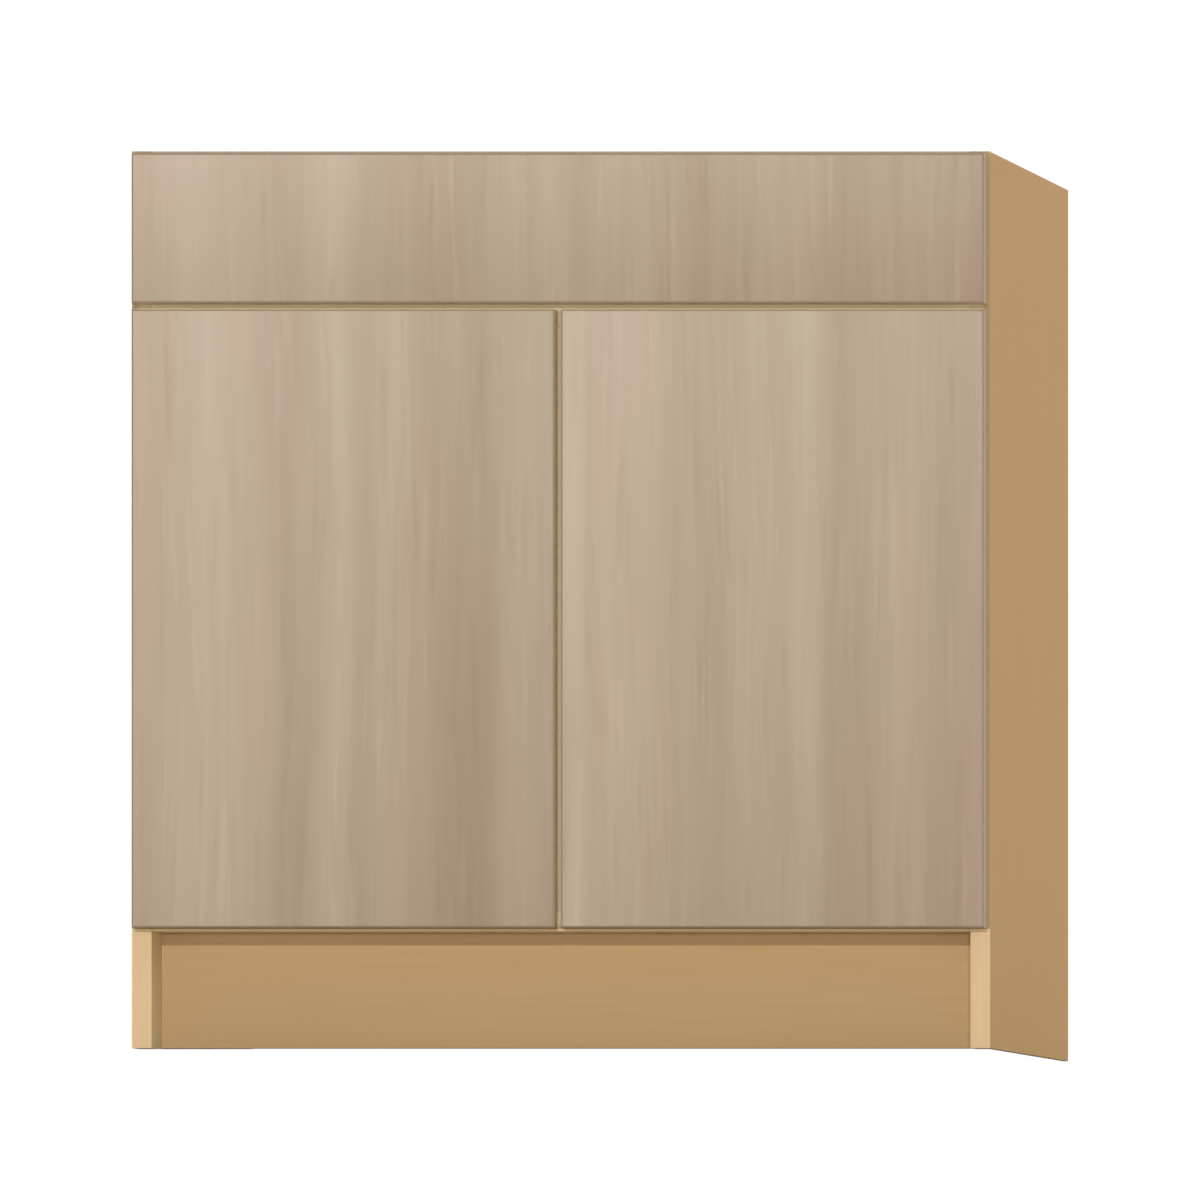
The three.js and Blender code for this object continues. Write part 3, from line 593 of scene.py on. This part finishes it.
smoothBelow = math.radians(35)      # faces that meet at less than this shade as one
levelWithin = 0.000002              # corners this near a height are on it


def select(item):
    bpy.ops.object.select_all(action="DESELECT")
    item.select_set(True)
    bpy.context.view_layer.objects.active = item


def pick(item, kind, test):
    # In edit mode, selects just the faces or edges that pass the test.
    bpy.ops.mesh.select_mode(type=kind)
    bpy.ops.mesh.select_all(action="DESELECT")
    mesh = bmesh.from_edit_mesh(item.data)
    for part in mesh.faces if kind == "FACE" else mesh.edges:
        if test(part):
            part.select_set(True)
    bmesh.update_edit_mesh(item.data)


def levelEdge(height):
    return lambda edge: all(abs(corner.co.z - height) < levelWithin for corner in edge.verts)


def carve(item, cutter):
    cut = item.modifiers.new("recess", "BOOLEAN")
    cut.operation = "DIFFERENCE"
    cut.solver = "EXACT"
    cut.object = cutter
    select(item)
    bpy.ops.object.modifier_apply(modifier=cut.name)


def buildHead(name, look):
    # A disc whose rim is rounded over, with a tapered cross recess.
    height = look["height"]
    bpy.ops.mesh.primitive_cylinder_add(
        vertices=36, radius=look["radius"], depth=height, location=(0, 0, height / 2))
    head = bpy.context.object
    head.name = name
    bpy.ops.object.transform_apply(location=True)
    bpy.ops.object.mode_set(mode="EDIT")
    pick(head, "EDGE", levelEdge(height))
    bpy.ops.mesh.bevel(offset=look["rounding"], segments=4, affect="EDGES")
    bpy.ops.object.mode_set(mode="OBJECT")
    for turn in (0, 90):
        bpy.ops.mesh.primitive_cube_add(size=1, location=(0, 0, height))
        bar = bpy.context.object
        bar.scale = (look["cross"], look["slot"], look["recess"] * 2)
        bar.rotation_euler.z = math.radians(turn)
        bpy.ops.object.transform_apply(location=True, rotation=True, scale=True)
        bpy.ops.object.mode_set(mode="EDIT")
        pick(bar, "FACE", lambda face: face.normal.z < -0.9)
        bpy.ops.transform.resize(value=(0.5, 0.5, 1))       # half as wide at the bottom of the recess
        bpy.ops.object.mode_set(mode="OBJECT")
        carve(head, bar)
        bpy.data.objects.remove(bar)
    select(head)
    bpy.ops.object.shade_smooth_by_angle(angle=smoothBelow)
    return head


def buildSpacer(name, look):
    # A disc with a hole, eased at its outer rims.
    height, rim = look["height"], look["radius"] * 0.9
    bpy.ops.mesh.primitive_cylinder_add(
        vertices=40, radius=look["radius"], depth=height, location=(0, 0, height / 2))
    spacer = bpy.context.object
    spacer.name = name
    bpy.ops.object.transform_apply(location=True)
    bpy.ops.object.mode_set(mode="EDIT")
    pick(spacer, "FACE", lambda face: abs(face.normal.z) > 0.9)
    bpy.ops.mesh.inset(thickness=look["radius"] - look["hole"])
    bpy.ops.mesh.delete(type="FACE")
    pick(spacer, "EDGE", lambda edge: edge.is_boundary)
    bpy.ops.mesh.bridge_edge_loops()
    pick(spacer, "EDGE", lambda edge: edge.calc_face_angle(0) > 1 and edge.verts[0].co.xy.length > rim)
    bpy.ops.mesh.bevel(offset=look["rounding"], segments=2, affect="EDGES")
    bpy.ops.mesh.select_all(action="SELECT")
    bpy.ops.mesh.normals_make_consistent(inside=False)
    bpy.ops.object.mode_set(mode="OBJECT")
    bpy.ops.object.shade_smooth_by_angle(angle=smoothBelow)
    return spacer


def putCopies(source, material, spots):
    # A spot is a name, the body it rides on, where its seat is, and which way it faces.
    for name, body, seat, facing in spots:
        item = source.copy()
        item.data = source.data.copy()
        item.name = name
        scene.collection.objects.link(item)
        item.location = seat
        item.rotation_euler = Vector(facing).to_track_quat("Z", "Y").to_euler()
        select(item)
        bpy.ops.object.transform_apply(location=True, rotation=True, scale=True)
        item.data.materials.clear()
        item.data.materials.append(material)
        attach(item, body)
        if name.endswith("_head"):
            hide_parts(name[:-5])      # the screw's node goes by the same name without _head
    bpy.data.objects.remove(source)


# Screws: zinc-plated pan heads on plates and apron, flat ones on cups and arms.

# "cross" is how long the recess is, "slot" how wide and "recess" how deep. A cup's screws stand "reach" above
# and below its centre, as 45 mm drilling has it, and "fromEdge" in from the end of its box. An arm's screws
# stand at "places" along Y, side adjustment and fixing, and their seat is "fromSide" off the side panel.
screwLook = {
    "plate": {"radius": 0.0040, "height": 0.0016, "rounding": 0.0009,
              "cross": 0.0046, "slot": 0.0010, "recess": 0.0010},
    "front": {"radius": 0.0045, "height": 0.0018, "rounding": 0.0010,
              "cross": 0.0052, "slot": 0.0011, "recess": 0.0012},
    "cup": {"radius": 0.0034, "height": 0.0007, "rounding": 0.0003,
            "cross": 0.0042, "slot": 0.0009, "recess": 0.0005, "reach": 0.0225, "fromEdge": 0.007},
    "arm": {"radius": 0.0033, "height": 0.0011, "rounding": 0.0003,
            "cross": 0.0044, "slot": 0.0010, "recess": 0.0007,
            "places": {"side": -0.2470, "fixing": -0.2260}, "fromSide": 0.013},
}
seatDepth = 0.00005     # small pieces sit this deep in what carries them


def putScrews():
    cup, arm = screwLook["cup"], screwLook["arm"]
    spots = {kind: [] for kind in screwLook}
    for side, hand in hands.items():
        for level in ("lower", "upper"):
            for end in ("bottom", "top"):
                name = f"plate_screw_{side}_{level}_{end}"
                low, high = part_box(name)
                seat = ((high.x if hand > 0 else low.x) - hand * screwLook["plate"]["height"],
                        (low.y + high.y) / 2, (low.z + high.z) / 2)
                spots["plate"].append((name + "_head", "case", seat, (hand, 0, 0)))
            low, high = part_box(f"hinge_cup_{side}_{level}")
            middle = (low.z + high.z) / 2
            flange = high.x - cup["fromEdge"] if hand > 0 else low.x + cup["fromEdge"]
            for end, step in (("bottom", -cup["reach"]), ("top", cup["reach"])):
                spots["cup"].append((f"cup_screw_{side}_{level}_{end}", f"door_{side}_leaf",
                                     (flange, high.y, middle + step), (0, 1, 0)))
            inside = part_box(f"side_panel_{side}")[1 if hand > 0 else 0].x
            web = inside + hand * (arm["fromSide"] - seatDepth)
            for place, y in arm["places"].items():
                spots["arm"].append((f"arm_screw_{side}_{level}_{place}", "case", (web, y, middle),
                                     (hand, 0, 0)))
    for place in ("lower_left", "lower_right", "upper_left", "upper_right"):
        name = "false_front_screw_" + place
        low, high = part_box(name)
        seat = ((low.x + high.x) / 2, high.y - screwLook["front"]["height"], (low.z + high.z) / 2)
        spots["front"].append((name + "_head", "case", seat, (0, 1, 0)))
    for kind, look in screwLook.items():
        putCopies(buildHead(kind + "Screw", look), zincPlate, spots[kind])
    return spots["front"]


frontSpots = putScrews()
print("screws")


# Spacers between apron and false front, and 15 mm cam locks in the boards.

# The cams stand "fromEnd" in from a board's end, at heights on the apron and the kick board and at places
# along Y under the deck.
spacerLook = {"radius": 0.009, "hole": 0.0025, "height": 0.0019, "rounding": 0.0003}
camLook = {
    "radius": 0.0075, "height": 0.0005, "rounding": 0.0002,
    "cross": 0.0075, "slot": 0.0016, "recess": 0.00035,
    "fromEnd": 0.034, "apron": {"lower": 0.745, "upper": 0.836}, "kick": 0.057,
    "deck": {"front": -0.18, "middle": 0.01, "rear": 0.2},
}


def putFittings(frontScrews):
    apronLow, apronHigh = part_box("apron_rail")
    stileLow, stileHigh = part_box("centre_stile")
    deckUnder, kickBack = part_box("bottom_panel")[0].z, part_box("toe_kick_board")[1].y
    spots = []
    for name, body, seat, facing in frontScrews:
        spots.append((name.replace("screw", "spacer").replace("_head", ""), body,
                      (seat[0], apronLow.y - seatDepth, seat[2]), (0, -1, 0)))
    putCopies(buildSpacer("spacer", spacerLook), softClear, spots)
    cams = []
    for side, hand in hands.items():
        x = -hand * (apronHigh.x - camLook["fromEnd"])
        for level, z in camLook["apron"].items():
            cams.append((f"cam_apron_{side}_{level}", "case", (x, apronHigh.y, z), (0, 1, 0)))
        for place, y in camLook["deck"].items():
            cams.append((f"cam_deck_{side}_{place}", "case", (x, y, deckUnder), (0, 0, -1)))
        cams.append((f"cam_kick_{side}", "case", (x, kickBack, camLook["kick"]), (0, 1, 0)))
    for end, z in (("bottom", stileLow.z + camLook["fromEnd"]), ("top", stileHigh.z - camLook["fromEnd"])):
        cams.append((f"cam_stile_{end}", "case", (0, stileHigh.y, z), (0, 1, 0)))
    putCopies(buildHead("cam", camLook), zincPlate, cams)


putFittings(frontSpots)
print("fittings")


# Camera: the photograph's oblique view. The front is square to the picture while the depth runs to the lower
# right, as a shift lens shows it from far away. The eye stands 20 m off, 3.07 m to the right and just below
# the floor. "focal" and "axis", where the lens axis would meet the picture, are in pixels of the picture.

cameraLook = {
    "eye": (3.0715, -20.13375, -0.4403), "focal": 20318.5, "axis": (3705.0, 1499.0), "picture": 1200,
    "sensor": 36, "clip": 100,
}


def addCamera(look):
    focal, size = look["focal"], look["picture"]
    forward = Vector(((size / 2 - look["axis"][0]) / focal, 1.0, (look["axis"][1] - size / 2) / focal))
    back = -forward.normalized()
    data = bpy.data.cameras.new("photoCamera")
    data.sensor_width = look["sensor"]
    data.lens = focal * forward.length * look["sensor"] / size
    data.clip_end = look["clip"]
    camera = bpy.data.objects.new("photoCamera", data)
    hold = bpy.data.objects.new("cameraHold", None)
    for item in (hold, camera):
        scene.collection.objects.link(item)
    hold.location = look["eye"]
    camera.parent = hold
    # It looks along forward, but its picture plane stays upright and parallel to the front.
    camera.matrix_parent_inverse = Matrix((
        (1, 0, back.x, 0), (0, 0, back.y, 0), (0, 1, back.z, 0), (0, 0, 0, 1)))
    scene.camera = camera


addCamera(cameraLook)


# Stage: pale floor with the cabinet's shadow, white all round.

# "near" and "far" are where the floor's paint starts and ends its fade to white, "half" is its half width,
# "drop" is how far it lies below the feet, and "bounce" is the colour that lights the cabinet.
stageLook = {"floor": "f4f3f0", "bounce": "bab8b4", "near": 1.3, "far": 3.4, "half": 9.0, "drop": 0.0004}


def addFloor(look):
    bpy.ops.mesh.primitive_plane_add(size=look["half"] * 2, location=(0, 0, -look["drop"]))
    floor = bpy.context.object
    floor.name = "stageFloor"
    material, tree = newMaterial("paleFloor")
    place = addNode(tree, "TexCoord")
    away = addNode(tree, "VectorMath", {"operation": "LENGTH"}, {0: place.outputs["Object"]})
    fade = addNode(tree, "MapRange", {"interpolation_type": "SMOOTHSTEP"}, {
        "Value": away.outputs["Value"], "From Min": look["near"], "From Max": look["far"]})
    white = addNode(tree, "Emission", {}, {"Strength": 1.0})
    path = addNode(tree, "LightPath")
    # Seen straight on the floor is nearly white. What it throws back on the cabinet is kept low.
    paint = addNode(tree, "Mix", {"data_type": "RGBA"}, {
        "Factor": path.outputs["Is Camera Ray"],
        mixA: linearColour(look["bounce"]), mixB: linearColour(look["floor"])})
    surface = addNode(tree, "BsdfDiffuse", {}, {"Color": paint})
    seen = addNode(tree, "Math", {"operation": "MULTIPLY"}, {0: fade, 1: path.outputs["Is Camera Ray"]})
    top = addNode(tree, "MixShader", {}, {0: seen, 1: surface, 2: white})
    # The photograph's eye is below floor level, so from below the floor lets the view through.
    side = addNode(tree, "NewGeometry")
    clear = addNode(tree, "BsdfTransparent")
    both = addNode(tree, "MixShader", {}, {0: side.outputs["Backfacing"], 1: top, 2: clear})
    addNode(tree, "OutputMaterial", {}, {"Surface": both})
    floor.data.materials.append(material)


def addUnderSheet(look):
    # A white sheet under the case hides the underside of the far panel, as the photograph does.
    caseFront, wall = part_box("side_band_left")[0].y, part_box("side_panel_left")[1].y
    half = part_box("side_panel_right")[1].x
    bpy.ops.mesh.primitive_plane_add(size=1, location=(0, (caseFront + wall) / 2, -look["drop"] * 2))
    sheet = bpy.context.object
    sheet.name = "stageUnderSheet"
    sheet.scale = (half * 2, wall - caseFront, 1)
    bpy.ops.object.transform_apply(location=True, scale=True)
    material, tree = newMaterial("whiteSheet")
    white = addNode(tree, "Emission", {}, {"Strength": 1.0})
    addNode(tree, "OutputMaterial", {}, {"Surface": white})
    sheet.data.materials.append(material)


bpy.ops.object.select_all(action="DESELECT")
addFloor(stageLook)
addUnderSheet(stageLook)
print("camera and stage")


# Light: even studio light, with a low key that draws the shadow under the fronts. Every side of the cabinet
# gets about the same.

# Each lamp is a far soft source: "turn" and "lift" are where it comes from, in degrees to the right of the
# front and above the floor, and "spread" is how wide it is. The lamps at the sides and the rear make no
# glare, because a side that is seen almost along its face would turn white in it.
lampLook = {
    "key": {"turn": 0, "lift": 11.6, "spread": 0.6, "strength": 1.1, "glare": True},
    "fill": {"turn": 9, "lift": 1.0, "spread": 5, "strength": 0.95, "glare": True},
    "rightSide": {"turn": 91, "lift": 14, "spread": 40, "strength": 1.65, "glare": False},
    "leftSide": {"turn": -91, "lift": 14, "spread": 40, "strength": 1.95, "glare": False},
    "rear": {"turn": 180, "lift": 20, "spread": 40, "strength": 2.0, "glare": False},
    "top": {"turn": 20, "lift": 80, "spread": 40, "strength": 0.8, "glare": True},
}
ambient = 0.22      # how strongly the white surroundings light the cabinet
lampHold = {"away": 3, "height": 0.44}      # metres from the cabinet's middle, and how high that is


def addLights():
    for name, look in lampLook.items():
        lamp = bpy.data.lights.new(name + "Lamp", "SUN")
        lamp.angle = math.radians(look["spread"])
        lamp.energy = look["strength"]
        item = bpy.data.objects.new(name + "Lamp", lamp)
        scene.collection.objects.link(item)
        turn, lift = math.radians(look["turn"]), math.radians(look["lift"])
        towards = Vector((math.sin(turn) * math.cos(lift), -math.cos(turn) * math.cos(lift), math.sin(lift)))
        item.visible_glossy = look["glare"]
        item.location = towards * lampHold["away"] + Vector((0, 0, lampHold["height"]))
        item.rotation_euler = towards.to_track_quat("Z", "Y").to_euler()


def addWorld():
    # White where it is seen straight, in a reflection or through something clear.
    world = bpy.data.worlds.new("whiteStudio")
    scene.world = world
    world.use_nodes = True
    tree = world.node_tree
    tree.nodes.clear()
    path = addNode(tree, "LightPath")
    seen = addNode(tree, "Math", {"operation": "MAXIMUM"}, {
        0: path.outputs["Is Camera Ray"], 1: path.outputs["Is Glossy Ray"]})
    through = addNode(tree, "Math", {"operation": "MAXIMUM"}, {
        0: seen, 1: path.outputs["Is Transmission Ray"]})
    strength = addNode(tree, "MapRange", {}, {"Value": through, "To Min": ambient, "To Max": 1.0})
    sky = addNode(tree, "Background", {}, {"Color": (1, 1, 1, 1), "Strength": strength})
    addNode(tree, "OutputWorld", {}, {"Surface": sky})


addLights()
addWorld()
scene.view_settings.view_transform = "Standard"
print("lights")
